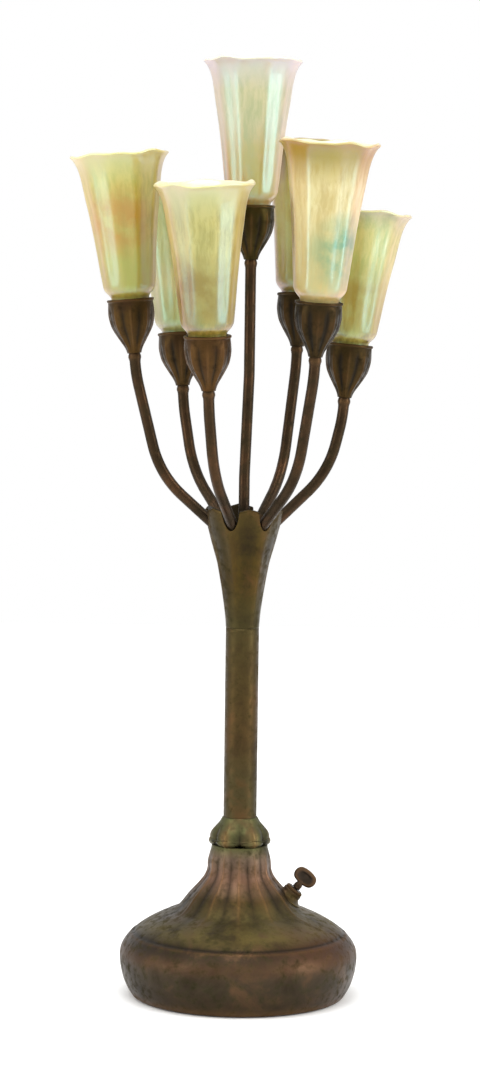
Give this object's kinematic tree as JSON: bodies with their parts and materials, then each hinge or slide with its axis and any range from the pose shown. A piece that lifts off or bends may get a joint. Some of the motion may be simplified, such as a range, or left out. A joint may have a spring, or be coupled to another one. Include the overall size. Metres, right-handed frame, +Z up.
{
  "type": "tulip shade table lamp",
  "caption": "Tall bronze table lamp: a round cast foot and column open into a spray of curved stems, each with a calyx cup and an upright flared glass tulip shade.",
  "frame": {"origin": "centre of the felt pad's underside, where the lamp stands on the table", "axes": "+Z up along the column; +X towards the turn-key switch; -Y towards the viewer of the picture, and the cord outlet points to +Y"},
  "size_m": [0.2887, 0.2727, 0.7984],
  "materials": {
    "cast_bronze": "cast bronze with a dark brown patina",
    "bronze_tube": "drawn bronze tube with a dark brown patina",
    "plain_brass": "turned, unlacquered",
    "plate_steel": "zinc plated",
    "ballast_iron": "rough cast",
    "felt": "wool felt",
    "black_rubber": "matte",
    "black_phenolic": "moulded phenolic",
    "porcelain": "glazed",
    "lead_sleeve": "insulated wire",
    "bulb_glass": "frosted",
    "art_glass": "iridescent opal glass, yellow-green to amber"
  },
  "bodies": {
    "lamp": {"felt_pad": "felt", "bottom_plate": "plate_steel", "plate_screws": "plate_steel", "ballast": "ballast_iron", "base_shell": "cast_bronze", "cord_bushing": "black_rubber", "bushing_nut": "plain_brass", "switch_body": "black_phenolic", "switch_nut": "cast_bronze", "collar": "cast_bronze", "column": "bronze_tube", "capital": "cast_bronze", "stem_hub": "plain_brass", "tie_rod": "plain_brass", "tie_nuts": "plain_brass", "neck_washer": "plate_steel", "splice_block": "porcelain", "stem_leads": "lead_sleeve", "switch_leads": "lead_sleeve", "shade_seats": "black_rubber", "stem_1": "bronze_tube", "stem_2": "bronze_tube", "stem_3": "bronze_tube", "stem_4": "bronze_tube", "stem_5": "bronze_tube", "stem_6": "bronze_tube", "stem_7": "bronze_tube", "cup_1": "cast_bronze", "cup_2": "cast_bronze", "cup_3": "cast_bronze", "cup_4": "cast_bronze", "cup_5": "cast_bronze", "cup_6": "cast_bronze", "cup_7": "cast_bronze", "socket_1": "black_phenolic", "socket_2": "black_phenolic", "socket_3": "black_phenolic", "socket_4": "black_phenolic", "socket_5": "black_phenolic", "socket_6": "black_phenolic", "socket_7": "black_phenolic", "bulb_1": "bulb_glass", "bulb_2": "bulb_glass", "bulb_3": "bulb_glass", "bulb_4": "bulb_glass", "bulb_5": "bulb_glass", "bulb_6": "bulb_glass", "bulb_7": "bulb_glass"},
    "key": {"switch_key": "cast_bronze"},
    "glass_1": {"shade_1": "art_glass"},
    "glass_2": {"shade_2": "art_glass"},
    "glass_3": {"shade_3": "art_glass"},
    "glass_4": {"shade_4": "art_glass"},
    "glass_5": {"shade_5": "art_glass"},
    "glass_6": {"shade_6": "art_glass"},
    "glass_7": {"shade_7": "art_glass"}
  },
  "joints": [
    {"name": "key_turn", "type": "hinge", "parent": "lamp", "child": "key", "pos_m": [0.0435, 0, 0.087], "axis": [0.6428, 0, 0.766], "continuous": true},
    {"name": "shade_1_lift", "type": "slide", "parent": "lamp", "child": "glass_1", "axis": [0, 0, 1], "range_m": [0, 0.07]},
    {"name": "shade_2_lift", "type": "slide", "parent": "lamp", "child": "glass_2", "axis": [0.0865, 0.0106, 0.9962], "range_m": [0, 0.07]},
    {"name": "shade_3_lift", "type": "slide", "parent": "lamp", "child": "glass_3", "axis": [0.0409, 0.077, 0.9962], "range_m": [0, 0.07]},
    {"name": "shade_4_lift", "type": "slide", "parent": "lamp", "child": "glass_4", "axis": [-0.056, 0.0668, 0.9962], "range_m": [0, 0.07]},
    {"name": "shade_5_lift", "type": "slide", "parent": "lamp", "child": "glass_5", "axis": [-0.0865, -0.0106, 0.9962], "range_m": [0, 0.07]},
    {"name": "shade_6_lift", "type": "slide", "parent": "lamp", "child": "glass_6", "axis": [-0.0312, -0.0814, 0.9962], "range_m": [0, 0.07]},
    {"name": "shade_7_lift", "type": "slide", "parent": "lamp", "child": "glass_7", "axis": [0.0525, -0.0696, 0.9962], "range_m": [0, 0.07]}
  ]
}
